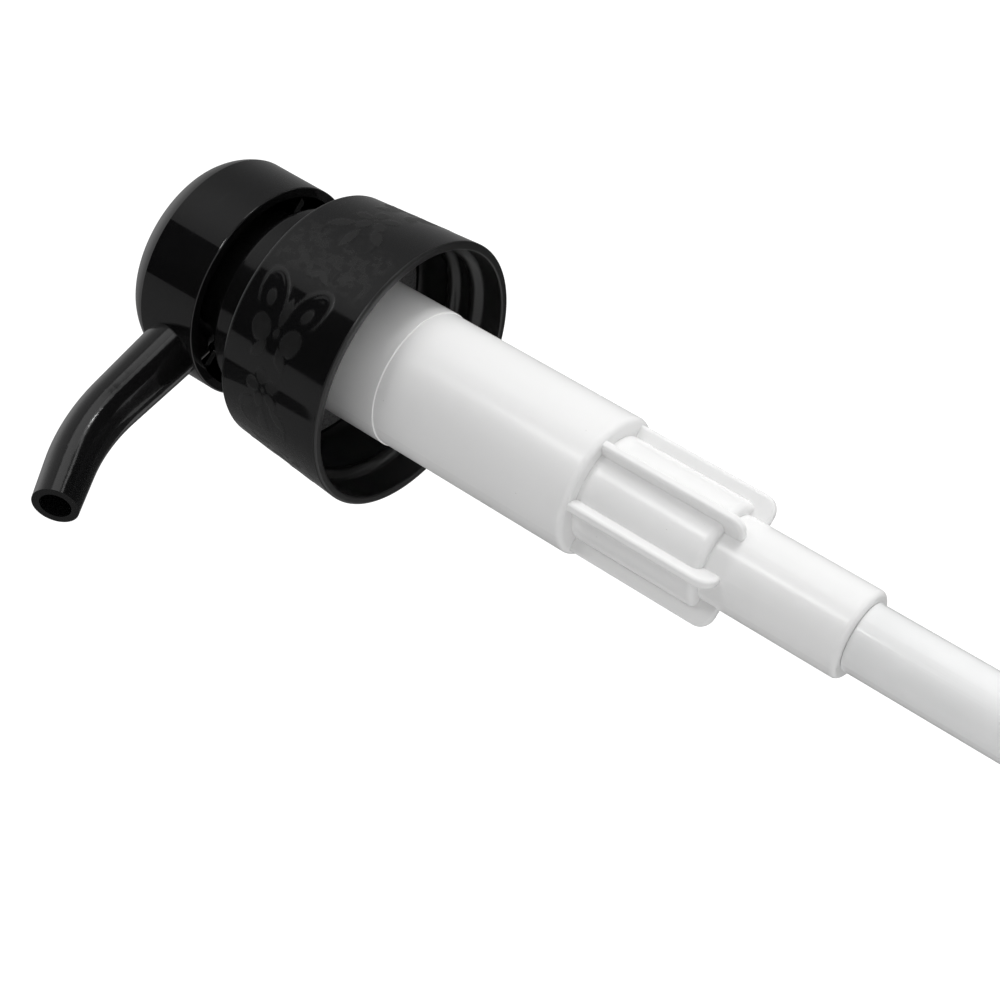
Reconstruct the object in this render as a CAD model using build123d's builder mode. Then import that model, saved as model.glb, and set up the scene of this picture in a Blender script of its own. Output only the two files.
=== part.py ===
"""Hand pump for sauce and syrup jugs, with a screw closure for a 38 mm neck.

Millimetres, +Z up. The origin is on the pump's axis, in the plane where the gasket sits on the
jug's neck, and +X is the way that the spout points. The head is modelled locked down.
"""

import os
from math import radians, tan

from build123d import *

# ------------------------------------------------------------------ driving dimensions
# Closure, a tapered cap with a 38 mm thread
rim_z = -15.0  # open lower edge
closure_height = 19.5
rim_r = 21.0
closure_top_r = 19.6
roof_thickness = 1.5
closure_top_edge_r = 0.5
closure_rim_edge_r = 0.35
closure_hole_r = 11.1
skirt_mouth_r = 19.65  # inside of the skirt at the rim
skirt_root_r = 18.95  # inside of the skirt at the top of the thread
skirt_root_z = -0.6
land_r = 18.3  # inside of the closure beside the gasket
land_z = 0.2
thread_pitch = 4.233  # six turns to the inch
thread_turns = 1.75
thread_crest_r = 17.9
thread_sunk_r = 19.3  # the thread's ridge starts inside the skirt's wall
thread_base = 2.3
thread_tip = 0.9
thread_start_z = -12.6

# Gasket and the barrel's flange
gasket_thickness = 1.2
gasket_r = 17.5
flange_r = 17.6
flange_thickness = 1.5
flange_edge_r = 0.3
turning_gap = 0.3  # between pieces that turn on each other
assembly_gap = 0.05  # between pieces that are pushed together

# Barrel
barrel_r = 10.55
barrel_band_r = 10.72  # slightly larger band next to the flange
band_z = -16.25
bore_r = 9.25
barrel_neck_r = 10.4
barrel_top_z = 9.6
bead_z = 7.85  # the collar snaps over this bead
bead_rise = 0.4
shoulder_z = -49.7
shoulder_wall = 1.3
shoulder_edge_r = 0.9
core_r = 8.0
core_bore_r = 6.75
core_end_z = -69.5
core_edge_r = 1.0
socket_r = 6.47
socket_bore_r = 4.83
socket_end_z = -90.5
socket_edge_r = 0.8
vent_r = 0.9
vent_z = -14.6
vent_azimuth = 139.0

# Ribs outside the core
rib_count = 6
rib_first_azimuth = 30.0
rib_r = 9.9
rib_thickness = 1.4
rib_end_z = -72.3
rib_corner_r = 2.3
rib_edge_r = 0.5

# Foot valve
passage_r = 2.2
seat_floor_z = -67.4  # where the ball cage stands
seat_depth = 2.0
ball_r = 3.5
ball_lift = 2.0
cage_r = 4.8
cage_bore_r = 3.9
cage_top_z = -59.9
cage_flange_z = -66.3
cage_roof = 1.0
cage_roof_hole_r = 1.8
cage_window = (3.0, 3.6)  # width and height

# Dip tube
tube_r = 5.0
tube_squeezed_r = 4.82  # where the socket grips it
tube_bore_r = 4.0
tube_top_z = -73.0
tube_end_z = -255.0
tube_cut_angle = 30.0

# Lock collar
collar_r = 15.0
collar_top_z = 11.25
collar_wall = 1.5
collar_edge_r = 1.4
snap_skirt_r = 12.0
plug_r = 9.2  # part of the collar inside the barrel
plug_end_z = -8.0
seal_seat_z = -6.0
seal_seat_r = 7.6
mouth_r = 8.1  # the head's boss enters here
mouth_floor_z = 5.0
post_r = 9.6
post_top_z = 14.1
post_edge = 0.4
lug_count = 3
lug_r = 10.3
lug_pitch = 9.0
lug_share = 0.14  # of a turn
lug_z = 12.05
lug_base = 1.2
lug_tip = 0.7

# Stem seal
seal_inner_r = 6.35
seal_lip_r = 6.6
seal_lip_end_z = -8.9

# Stem, rod and piston
stem_r = 6.0
stem_bore_r = 4.4
stem_top_z = 13.7
stem_end_z = -36.3
guide_clearance = 0.06
rod_r = 4.33
rod_bore_r = 3.0
rod_top_z = -30.0
disc_r = 7.0
disc_top_z = -44.0
disc_thickness = 1.5
spigot_r = 4.8
spigot_end_z = -51.0
spigot_bore_r = 3.4
spigot_nose = 0.8
rod_window = 3.2
rod_window_z = -42.0
snap_z = -33.0  # the rod snaps into the stem here
snap_rise = 0.19
piston_lip_r = 9.2
piston_lip_inner_r = 8.2
piston_skirt_inner_r = 7.9
piston_lip_relief = 0.4
piston_lip_edge = 0.3
piston_web = 1.5
piston_hub_bore_r = 4.41
piston_hub_r = 6.3
piston_hub_height = 6.0

# Spring
spring_mean_r = 5.6
wire_r = 0.6
spring_turns = 11

# Head
head_rim_z = 13.2
head_rim_r = 16.92
head_side_r = 17.0
head_side_top_z = 23.4
crown_r = 15.45
crown_z = 26.25
dome_z = 27.3
head_wall_inner_r = 15.5
head_roof_z = 24.9
head_roof_corner = 1.8
crown_edge_r = 0.8
head_rim_edge_r = 0.25
boss_r = 7.7
boss_end_z = 6.0
chamber_top_z = 21.7
lock_skirt_inner_r = 10.9
lock_skirt_r = 12.1
lock_skirt_end_z = 12.0
gusset_count = 6
gusset_thickness = 1.2
gusset_end_z = 17.0

# Spout
spout_axis_z = 18.61  # height at which the spout's line meets the pump's axis
spout_slope = 2.47  # degrees below level, before the bend
spout_inner_x = 4.6
spout_step_x = 13.6  # the thinner spigot ends here
spout_spigot_r = 3.7
spout_root_r = 4.46
spout_tip_r = 3.43
spout_root_bore_r = 2.8
spout_tip_bore_r = 2.32
bend_start_x = 29.0
bend_r = 28.2
bend_angle = 26.4
spout_tip_length = 6.7
spout_cut_angle = 8.4
spout_spare = 1.0  # cut away by the slanting tip

# ------------------------------------------------------------------ worked-out heights
closure_top_z = rim_z + closure_height
roof_z = closure_top_z - roof_thickness
flange_top_z = gasket_thickness + flange_thickness
collar_base_z = closure_top_z + turning_gap
bore_floor_z = shoulder_z + shoulder_wall
seat_bottom_z = seat_floor_z - seat_depth
disc_bottom_z = disc_top_z - disc_thickness

os.makedirs("parts", exist_ok=True)


def turn(corners, mode=Mode.ADD):
    """Turn a closed outline of (radius, height) corners about the pump's axis."""
    with BuildSketch(Plane.XZ) as outline:
        with BuildLine():
            Polyline(*corners, close=True)
        make_face()
    revolve(outline.sketch, axis=Axis.Z, mode=mode)


def bump(radius, rise, middle_z, half_flat, half_base):
    """Four corners of a snap bead or groove, from the top down."""
    return [
        (radius, middle_z + half_base),
        (radius + rise, middle_z + half_flat),
        (radius + rise, middle_z - half_flat),
        (radius, middle_z - half_base),
    ]


def ring_edges(builder, radius, height):
    """Circular edges of one radius at one height."""
    found = builder.edges().filter_by(GeomType.CIRCLE)
    found = [e for e in found if abs(e.radius - radius) < 0.02]
    return [e for e in found if abs(e.arc_center.Z - height) < 0.02]


def ridge(root_r, crest_r, base, tip, pitch, turns, start_z):
    """A screw ridge of trapezium section: base wide at root_r and tip wide at crest_r."""
    line = Helix(pitch=pitch, height=pitch * turns, radius=root_r, center=(0, 0, start_z))
    plane = Plane(origin=line @ 0, x_dir=(1, 0, 0), z_dir=line % 0)
    reach = crest_r - root_r
    with BuildSketch(plane) as section:
        with BuildLine():
            Polyline(
                (0, -base / 2),
                (reach, -tip / 2),
                (reach, tip / 2),
                (0, base / 2),
                close=True,
            )
        make_face()
    return sweep(section.sketch, path=line, is_frenet=True, mode=Mode.PRIVATE)


def finish_piece(builder, name):
    """Label a finished piece and write it."""
    builder.part.label = name
    export_step(builder.part, f"parts/{name}.step")


# ------------------------------------------------------------------ closure
with BuildPart() as closure:
    turn(
        [
            (closure_hole_r, closure_top_z),
            (closure_hole_r, roof_z),
            (land_r, roof_z),
            (land_r, land_z),
            (skirt_root_r, skirt_root_z),
            (skirt_mouth_r, rim_z),
            (rim_r, rim_z),
            (closure_top_r, closure_top_z),
        ]
    )
    fillet(ring_edges(closure, closure_top_r, closure_top_z), closure_top_edge_r)
    fillet(ring_edges(closure, rim_r, rim_z), closure_rim_edge_r)
    fillet(ring_edges(closure, skirt_mouth_r, rim_z), closure_rim_edge_r)
    add(
        ridge(
            thread_sunk_r,
            thread_crest_r,
            thread_base,
            thread_tip,
            thread_pitch,
            thread_turns,
            thread_start_z,
        )
    )
finish_piece(closure, "closure")

# ------------------------------------------------------------------ gasket
gasket_hole_r = barrel_band_r + 0.15
with BuildPart() as gasket:
    turn(
        [
            (gasket_hole_r, 0),
            (gasket_r, 0),
            (gasket_r, gasket_thickness),
            (gasket_hole_r, gasket_thickness),
        ]
    )
finish_piece(gasket, "gasket")

# ------------------------------------------------------------------ barrel
rib_plane = Plane.XZ.rotated((0, 0, rib_first_azimuth))
rib_top_z = shoulder_z + 0.3  # the ribs are sunk a little into the shoulder and the core
with BuildPart() as rib:
    with BuildSketch(rib_plane) as rib_outline:
        with BuildLine():
            Polyline(
                (core_bore_r + 0.6, rib_top_z),
                (rib_r, rib_top_z),
                (rib_r, rib_end_z),
                (socket_bore_r + 0.7, rib_end_z),
                (socket_bore_r + 0.7, core_end_z + 0.6),
                (core_bore_r + 0.6, core_end_z + 0.6),
                close=True,
            )
        make_face()
        lowest = rib_outline.vertices().group_by(Axis.Z)[0]
        outer_corner = max(lowest, key=lambda v: v.X**2 + v.Y**2)
        fillet(outer_corner, rib_corner_r)
    extrude(amount=rib_thickness / 2, both=True)
    outer_edges = rib.edges().filter_by(lambda e: Vector((e @ 0.5).X, (e @ 0.5).Y).length > core_r)
    fillet(outer_edges.filter_by(lambda e: e.length > 2 * rib_thickness), rib_edge_r)

with BuildPart() as barrel:
    turn(
        [
            (bore_r, barrel_top_z),
            (barrel_neck_r, barrel_top_z),
            *bump(barrel_neck_r, bead_rise, bead_z, 0.25, 0.75),
            (barrel_neck_r, flange_top_z),
            (flange_r, flange_top_z),
            (flange_r, gasket_thickness),
            (barrel_band_r, gasket_thickness),
            (barrel_band_r, band_z),
            (barrel_r, band_z - 0.1),
            (barrel_r, shoulder_z),
            (core_r, shoulder_z),
            (core_r, core_end_z),
            (socket_r, core_end_z),
            (socket_r, socket_end_z),
            (socket_bore_r, socket_end_z),
            (socket_bore_r, tube_top_z),
            (passage_r, tube_top_z),
            (passage_r, seat_bottom_z),
            (passage_r + seat_depth, seat_floor_z),
            (core_bore_r, seat_floor_z),
            (core_bore_r, bore_floor_z - 0.8),
            (core_bore_r + 0.8, bore_floor_z),
            (bore_r, bore_floor_z),
        ]
    )
    fillet(ring_edges(barrel, barrel_r, shoulder_z), shoulder_edge_r)
    fillet(ring_edges(barrel, core_r, core_end_z), core_edge_r)
    fillet(ring_edges(barrel, socket_r, socket_end_z), socket_edge_r)
    fillet(ring_edges(barrel, flange_r, flange_top_z), flange_edge_r)
    with PolarLocations(0, rib_count):
        add(rib.part)
    vent_wall = PolarLocations(barrel_r, 1, start_angle=vent_azimuth)
    with Locations((0, 0, vent_z)), vent_wall, Locations(Rotation(0, 90, 0)):
        Cylinder(vent_r, 2 * (barrel_r - bore_r), mode=Mode.SUBTRACT)
finish_piece(barrel, "barrel")

# ------------------------------------------------------------------ ball cage and inlet ball
cage_flange_r = core_bore_r - assembly_gap
cage_ceiling_z = cage_top_z - cage_roof
window_width, window_height = cage_window
with BuildPart() as ball_cage:
    turn(
        [
            (cage_bore_r, seat_floor_z),
            (cage_flange_r, seat_floor_z),
            (cage_flange_r, cage_flange_z),
            (cage_r, cage_flange_z),
            (cage_r, cage_ceiling_z),
            (cage_r - cage_roof, cage_top_z),
            (cage_roof_hole_r, cage_top_z),
            (cage_roof_hole_r, cage_ceiling_z),
            (cage_bore_r, cage_ceiling_z),
        ]
    )
    with Locations((0, 0, (cage_flange_z + cage_ceiling_z) / 2)):
        Box(4 * cage_r, window_width, window_height, mode=Mode.SUBTRACT)
        Box(window_width, 4 * cage_r, window_height, mode=Mode.SUBTRACT)
finish_piece(ball_cage, "ball_cage")

# A ball on a 45 degree seat stands root two radii above the point of the seat's cone.
ball_z = seat_bottom_z - passage_r + (ball_r + assembly_gap) * 2**0.5
with BuildPart() as inlet_ball:
    with Locations((0, 0, ball_z)):
        Sphere(ball_r)
finish_piece(inlet_ball, "inlet_ball")

# ------------------------------------------------------------------ dip tube
with BuildPart() as dip_tube:
    turn(
        [
            (tube_bore_r, tube_top_z),
            (tube_squeezed_r, tube_top_z),
            (tube_squeezed_r, socket_end_z),
            (tube_r, socket_end_z - 0.1),
            (tube_r, tube_end_z),
            (tube_bore_r, tube_end_z),
        ]
    )
    cut_plane = Plane(
        origin=(-tube_r, 0, tube_end_z),
        x_dir=(0, 1, 0),
        z_dir=Vector(-tan(radians(tube_cut_angle)), 0, 1),
    )
    split(bisect_by=cut_plane, keep=Keep.TOP)
finish_piece(dip_tube, "dip_tube")

# ------------------------------------------------------------------ lock collar
guide_r = stem_r + guide_clearance
snap_r = barrel_neck_r + assembly_gap
barrel_stop_z = barrel_top_z + 0.15
with BuildPart() as lock_collar:
    turn(
        [
            (collar_r, collar_base_z),
            (collar_r, collar_top_z),
            (post_r, collar_top_z),
            (post_r, post_top_z),
            (mouth_r, post_top_z),
            (mouth_r, mouth_floor_z),
            (guide_r, mouth_floor_z),
            (guide_r, seal_seat_z),
            (seal_seat_r, seal_seat_z),
            (seal_seat_r, plug_end_z),
            (plug_r, plug_end_z),
            (plug_r, barrel_stop_z),
            (snap_r, barrel_stop_z),
            *bump(snap_r, bead_rise, bead_z, 0.35, 0.85),
            (snap_r, collar_base_z),
            (snap_skirt_r, collar_base_z),
            (snap_skirt_r, barrel_stop_z),
            (collar_r - collar_wall, barrel_stop_z),
            (collar_r - collar_wall, collar_base_z),
        ]
    )
    fillet(ring_edges(lock_collar, collar_r, collar_top_z), collar_edge_r)
    chamfer(ring_edges(lock_collar, post_r, post_top_z), post_edge)
    with PolarLocations(0, lug_count):
        add(ridge(post_r - turning_gap, lug_r, lug_base, lug_tip, lug_pitch, lug_share, lug_z))
finish_piece(lock_collar, "lock_collar")

# ------------------------------------------------------------------ stem seal
seal_contact_r = stem_r + assembly_gap
seal_top_z = seal_seat_z - assembly_gap
with BuildPart() as stem_seal:
    turn(
        [
            (seal_contact_r, seal_top_z),
            (seal_seat_r - assembly_gap, seal_top_z),
            (seal_seat_r - assembly_gap, plug_end_z),
            (seal_lip_r, seal_lip_end_z),
            (seal_contact_r, seal_lip_end_z),
            (seal_inner_r, plug_end_z + 0.6),
            (seal_inner_r, seal_top_z - 0.55),
        ]
    )
finish_piece(stem_seal, "stem_seal")

# ------------------------------------------------------------------ stem
with BuildPart() as stem:
    turn(
        [
            (stem_bore_r, stem_top_z),
            (stem_r, stem_top_z),
            (stem_r, stem_end_z),
            (stem_bore_r, stem_end_z),
            *reversed(bump(stem_bore_r, snap_rise + 0.03, snap_z, 0.4, 0.7)),
        ]
    )
    chamfer(ring_edges(stem, stem_r, stem_top_z), post_edge)
finish_piece(stem, "stem")

# ------------------------------------------------------------------ piston rod
spigot_ceiling_z = disc_bottom_z - 1.2
rod_floor_z = disc_top_z + 0.4
with BuildPart() as piston_rod:
    turn(
        [
            (rod_bore_r, rod_top_z),
            (rod_r - 0.3, rod_top_z),
            (rod_r, rod_top_z - 0.6),
            *bump(rod_r, snap_rise, snap_z, 0.2, 0.5),
            (rod_r, disc_top_z),
            (disc_r, disc_top_z),
            (disc_r, disc_bottom_z),
            (spigot_r, disc_bottom_z),
            (spigot_r, spigot_end_z + spigot_nose),
            (spigot_r - spigot_nose, spigot_end_z),
            (spigot_bore_r, spigot_end_z),
            (spigot_bore_r, spigot_ceiling_z),
            (0, spigot_ceiling_z),
            (0, rod_floor_z),
            (rod_bore_r, rod_floor_z),
        ]
    )
    with Locations((0, 0, rod_window_z)):
        Box(4 * rod_r, rod_window, rod_window, mode=Mode.SUBTRACT)
        Box(rod_window, 4 * rod_r, rod_window, mode=Mode.SUBTRACT)
finish_piece(piston_rod, "piston_rod")

# ------------------------------------------------------------------ piston
hub_base_z = disc_top_z + assembly_gap
hub_top_z = hub_base_z + piston_hub_height
lip_base_z = disc_top_z - 2.4
lip_top_z = hub_top_z + 1.8
web_z = hub_base_z + 2.4
lip_edge_r = piston_lip_r - piston_lip_edge
relief_r = piston_lip_r - piston_lip_relief
with BuildPart() as piston:
    turn(
        [
            (piston_hub_bore_r, hub_base_z),
            (piston_hub_bore_r + 0.9, hub_base_z),
            (piston_hub_r, hub_base_z + 0.8),
            (piston_hub_r, web_z),
            (piston_skirt_inner_r, web_z),
            (piston_lip_inner_r, lip_base_z),
            (lip_edge_r, lip_base_z),
            (piston_lip_r, lip_base_z + 0.4),
            (piston_lip_r, lip_base_z + 1.4),
            (relief_r, lip_base_z + 2.2),
            (relief_r, lip_top_z - 2.2),
            (piston_lip_r, lip_top_z - 1.4),
            (piston_lip_r, lip_top_z - 0.4),
            (lip_edge_r, lip_top_z),
            (piston_lip_inner_r, lip_top_z),
            (piston_skirt_inner_r, web_z + piston_web),
            (piston_hub_r, web_z + piston_web),
            (piston_hub_r, hub_top_z - 0.6),
            (piston_hub_r - 0.6, hub_top_z),
            (piston_hub_bore_r, hub_top_z),
        ]
    )
finish_piece(piston, "piston")

# ------------------------------------------------------------------ spring
spring_base_z = cage_flange_z + wire_r + assembly_gap
spring_top_z = disc_bottom_z - wire_r - assembly_gap
spring_height = spring_top_z - spring_base_z
with BuildPart() as spring:
    with BuildLine() as coil:
        Helix(
            pitch=spring_height / spring_turns,
            height=spring_height,
            radius=spring_mean_r,
            center=(0, 0, spring_base_z),
        )
    with BuildSketch(Plane(origin=coil.line @ 0, x_dir=(1, 0, 0), z_dir=coil.line % 0)):
        Circle(wire_r)
    sweep(path=coil.line, is_frenet=True)
finish_piece(spring, "spring")

# ------------------------------------------------------------------ head shell
spout_fall = tan(radians(spout_slope))
boss_seat_z = stem_top_z + 0.1
gusset_r = (lock_skirt_r + head_wall_inner_r) / 2
gusset_z = (head_roof_z + gusset_end_z) / 2
gusset_size = (head_wall_inner_r - lock_skirt_r + 0.6, gusset_thickness, head_roof_z - gusset_end_z + 0.4)
root_plane = Plane(
    origin=(0, 0, spout_axis_z),
    x_dir=(0, 1, 0),
    z_dir=Vector(1, 0, -spout_fall),
)
with BuildPart() as head_shell:
    with BuildSketch(Plane.XZ) as head_outline:
        with BuildLine():
            Polyline(
                (0, dome_z),
                (0, chamber_top_z),
                (stem_bore_r, chamber_top_z),
                (stem_bore_r, boss_seat_z),
                (stem_r, boss_seat_z),
                (stem_r, boss_end_z),
                (boss_r, boss_end_z),
                (boss_r, head_roof_z),
                (lock_skirt_inner_r, head_roof_z),
                (lock_skirt_inner_r, lock_skirt_end_z),
                (lock_skirt_r, lock_skirt_end_z),
                (lock_skirt_r, head_roof_z),
                (head_wall_inner_r - head_roof_corner, head_roof_z),
                (head_wall_inner_r, head_roof_z - head_roof_corner),
                (head_wall_inner_r, head_rim_z),
                (head_rim_r, head_rim_z),
                (head_side_r, head_side_top_z),
            )
            ThreePointArc(
                (head_side_r, head_side_top_z),
                (head_side_r - 0.6, head_side_top_z + 1.5),
                (crown_r, crown_z),
            )
            ThreePointArc(
                (crown_r, crown_z),
                (crown_r * 0.55, dome_z - 0.25),
                (0, dome_z),
            )
        make_face()
    revolve(axis=Axis.Z)
    fillet(ring_edges(head_shell, crown_r, crown_z), crown_edge_r)
    fillet(ring_edges(head_shell, head_rim_r, head_rim_z), head_rim_edge_r)
    with Locations((0, 0, gusset_z)), PolarLocations(gusset_r, gusset_count, start_angle=30):
        Box(*gusset_size)
    with BuildSketch(root_plane.offset(stem_bore_r - 1.2)):
        Circle(spout_spigot_r)
    extrude(amount=spout_step_x, mode=Mode.SUBTRACT)
    with BuildSketch(root_plane.offset(spout_step_x)):
        Circle(spout_root_r)
    extrude(amount=boss_r, mode=Mode.SUBTRACT)
finish_piece(head_shell, "head_shell")

# ------------------------------------------------------------------ spout
def on_spout(x):
    """The point of the spout's straight line at distance x from the pump's axis."""
    return (x, spout_axis_z - x * spout_fall)


def taper(line, start_radius, end_radius):
    """Circles across a line, with a radius that changes evenly along it."""
    for share in (0, 0.35, 0.55, 0.7, 0.85, 1):
        plane = Plane(origin=line @ share, x_dir=(0, 1, 0), z_dir=line % share)
        with BuildSketch(plane) as ring:
            Circle(start_radius + (end_radius - start_radius) * share)
        yield ring.sketch


with BuildPart() as spout:
    with BuildLine(Plane.XZ) as spout_line:
        Line(on_spout(head_side_r), on_spout(bend_start_x))
        bend = JernArc(
            start=on_spout(bend_start_x),
            tangent=(1, -spout_fall),
            radius=bend_r,
            arc_size=-bend_angle,
        )
        PolarLine(
            start=bend @ 1,
            length=spout_tip_length + spout_spare,
            direction=bend % 1,
        )
    route = spout_line.wires()[0]
    sweep(sections=list(taper(route, spout_root_r, spout_tip_r)), path=route, multisection=True)
    slope_length = (1 + spout_fall**2) ** 0.5
    with BuildSketch(root_plane.offset(spout_step_x * slope_length)):
        Circle(spout_root_r)
    extrude(amount=(head_side_r - spout_step_x) * slope_length)
    with BuildSketch(root_plane.offset(spout_inner_x * slope_length)):
        Circle(spout_spigot_r)
    extrude(amount=(spout_step_x - spout_inner_x) * slope_length)
    with BuildSketch(root_plane):
        Circle(spout_root_bore_r)
    extrude(amount=head_side_r * slope_length, mode=Mode.SUBTRACT)
    bore = list(taper(route, spout_root_bore_r, spout_tip_bore_r))
    sweep(sections=bore, path=route, multisection=True, mode=Mode.SUBTRACT)
    tip_share = 1 - spout_spare / route.length
    across_tip = Plane(origin=route @ tip_share, x_dir=(0, 1, 0), z_dir=route % tip_share)
    split(bisect_by=across_tip.rotated((spout_cut_angle, 0, 0)), keep=Keep.BOTTOM)
finish_piece(spout, "spout")
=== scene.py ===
# %% [markdown]
# # A hand pump for sauce and syrup jugs
#
# The pump screws onto a jug. Its head is pressed, and sauce leaves by the bent spout. The packed
# model already holds every part at its real size, so this script only gives the parts their looks.
# It keeps the parts whose shape is right and finishes them. It remodels two: the screw closure,
# for the low relief on its side, and the spring, for its closed end turns.

import bmesh
import bpy
import numpy as np
from mathutils import Matrix, Vector


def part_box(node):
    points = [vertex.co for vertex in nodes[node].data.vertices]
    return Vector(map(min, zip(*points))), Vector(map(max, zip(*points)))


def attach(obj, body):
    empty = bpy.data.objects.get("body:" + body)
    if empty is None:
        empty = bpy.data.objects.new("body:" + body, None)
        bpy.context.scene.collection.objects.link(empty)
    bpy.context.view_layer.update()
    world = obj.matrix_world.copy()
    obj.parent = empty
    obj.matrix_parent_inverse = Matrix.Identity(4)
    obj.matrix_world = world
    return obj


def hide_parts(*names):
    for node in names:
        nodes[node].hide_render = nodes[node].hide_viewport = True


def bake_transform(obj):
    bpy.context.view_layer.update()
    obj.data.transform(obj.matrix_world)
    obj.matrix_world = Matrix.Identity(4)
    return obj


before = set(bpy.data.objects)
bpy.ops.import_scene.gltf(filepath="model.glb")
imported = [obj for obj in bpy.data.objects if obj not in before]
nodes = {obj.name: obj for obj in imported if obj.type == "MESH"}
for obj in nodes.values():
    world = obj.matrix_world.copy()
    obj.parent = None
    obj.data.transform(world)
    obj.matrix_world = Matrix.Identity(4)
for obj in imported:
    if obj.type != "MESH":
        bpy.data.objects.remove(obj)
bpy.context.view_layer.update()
MM = 0.001


# %% [markdown]
# ## Reading sizes from the frame
#
# Every new piece takes its main sizes from the part that it stands for, so that it lands in the
# right place with no fitting. A part that is turned about the pump's axis is described by its
# lowest point, its highest point and its largest radius.

# %% Heights and radii of the turned parts, in millimetres
def turned_size(node):
    """(lowest height, highest height, largest radius) of a part that is round about the Z axis."""
    low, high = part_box(node)
    return low.z / MM, high.z / MM, high.y / MM


closure_foot, closure_top, closure_rim_r = turned_size("closure")
spring_foot, spring_top, spring_r = turned_size("spring")
tube_foot, tube_top, tube_r = turned_size("dip_tube")
print(f"radii: closure {closure_rim_r:.2f}, spring {spring_r:.2f}, tube {tube_r:.2f} mm")
print(f"the tube is {tube_top - tube_foot:.0f} mm long")


# %% [markdown]
# ## The camera
#
# The camera looks up at the head from below, so that the inside of the screw closure and the ribs
# on the barrel both show. It could be aimed by a Track To constraint. Here it is placed by where
# it stands and by three directions, right, up and back, which are the columns of its matrix, so it
# can also be tilted about its line of sight.

# %% Place the camera
CAMERA_SPOT = Vector((130.3, 221.8, -159.7)) * MM
CAMERA_RIGHT = Vector((-0.63052, -0.07848, -0.77219))
CAMERA_UP = Vector((-0.64639, 0.60383, 0.46643))
LENS, SENSOR_WIDTH = 73.9, 36  # millimetres, as on a real camera
NEAREST = 0.01

camera_data = bpy.data.cameras.new("camera")
camera_data.lens = LENS
camera_data.sensor_width = SENSOR_WIDTH
camera_data.clip_start = NEAREST
camera = bpy.data.objects.new("camera", camera_data)
bpy.context.scene.collection.objects.link(camera)
camera_back = CAMERA_RIGHT.cross(CAMERA_UP)
turned = Matrix((CAMERA_RIGHT, CAMERA_UP, camera_back)).transposed().to_4x4()
camera.matrix_world = Matrix.Translation(CAMERA_SPOT) @ turned
bpy.context.scene.camera = camera
bpy.context.scene.view_settings.view_transform = "Standard"
print("the camera is", round(CAMERA_SPOT.length, 3), "m from the neck seat")


# %% [markdown]
# ## Shader maths as ordinary sums
#
# A finish needs patterns: scratches, a grain, a raised motif. Blender writes them as nodes, and a
# long chain of Math nodes is hard to read. `Wire` wraps the output of a node, so `1 - mask * 0.3`
# adds the nodes by itself. `Graph` adds any other node from its type, settings and inputs.

# %% A small language for shader nodes
class Wire:
    """One number that changes over a surface: the output socket of a shader node."""

    def __init__(self, graph, socket):
        self.graph = graph
        self.socket = socket

    def math(self, operation, *values):
        """The Math node for `operation` on these values."""
        return self.graph.node("ShaderNodeMath", {"operation": operation}, dict(enumerate(values)))

    def __add__(self, other):
        return self.math("ADD", self, other)

    def __mul__(self, other):
        return self.math("MULTIPLY", self, other)

    def __sub__(self, other):
        return self.math("SUBTRACT", self, other)

    def __rsub__(self, other):
        return self.math("SUBTRACT", other, self)

    __radd__ = __add__
    __rmul__ = __mul__

    def unsigned(self):
        """The value without its sign."""
        return self.graph.node("ShaderNodeMath", {"operation": "ABSOLUTE"}, {0: self})

    def fade(self, low, high):
        """0 below low, 1 above high, and a smooth rise between them."""
        ends = {"Value": self, "From Min": low, "From Max": high}
        return self.graph.node("ShaderNodeMapRange", {"interpolation_type": "SMOOTHSTEP"}, ends)


class Graph:
    """The nodes of one material or world."""

    def __init__(self, tree):
        self.tree = tree

    def node(self, kind, settings=None, inputs=None, output=0):
        """Adds a node: its settings come first, then its sockets get values or wires."""
        made = self.tree.nodes.new(kind)
        for name, value in (settings or {}).items():
            setattr(made, name, value)
        self.feed(made, inputs or {})
        return Wire(self, made.outputs[output])

    def feed(self, made, inputs):
        """Gives each named or numbered socket of a node its value or its wire."""
        for name, value in inputs.items():
            if isinstance(value, Wire):
                self.tree.links.new(value.socket, made.inputs[name])
            else:
                made.inputs[name].default_value = value


# %% [markdown]
# ## What moulded plastic looks like close up
#
# A gloss moulding is never a perfect mirror. Its skin has a slow waviness from the melt, a haze
# that changes from place to place, hairline scratches from handling and a little dust. The waves
# and scratches go into the Bump node, and the haze and scratches into the roughness. All patterns
# read object coordinates, in metres, so they stay on the part when it moves.

# %% A finish is a Principled BSDF fed by a graph
def object_place(graph):
    """The place on the part, in metres from the pump's origin."""
    return graph.node("ShaderNodeTexCoord", output="Object")


def mottle(graph, size, detail=2.0, stretch=(1, 1, 1)):
    """Noise of about `size` millimetres, from 0 to 1; a stretch of 0.1 makes it 10 times longer."""
    sockets = {"Vector": object_place(graph), "Scale": stretch}
    place = graph.node("ShaderNodeMapping", None, sockets)
    sockets = {"Vector": place, "Scale": 1 / (size * MM), "Detail": detail}
    return graph.node("ShaderNodeTexNoise", None, sockets)


def hairlines(graph, size, stretch, thin=0.03):
    """Fine lines where a stretched noise crosses its middle value: 1 on a line and 0 elsewhere."""
    away = (mottle(graph, size, 0.0, stretch) - 0.5).unsigned()
    patches = mottle(graph, 6.0, 1.0).fade(0.5, 0.62)
    return (1 - away.fade(0.0, thin)) * patches


def cells(graph, spacing):
    """Distance from the middle of the nearest cell, in a pattern of cells `spacing` mm apart."""
    sockets = {"Vector": object_place(graph), "Scale": 1 / (spacing * MM)}
    return graph.node("ShaderNodeTexVoronoi", None, sockets, "Distance")


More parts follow.
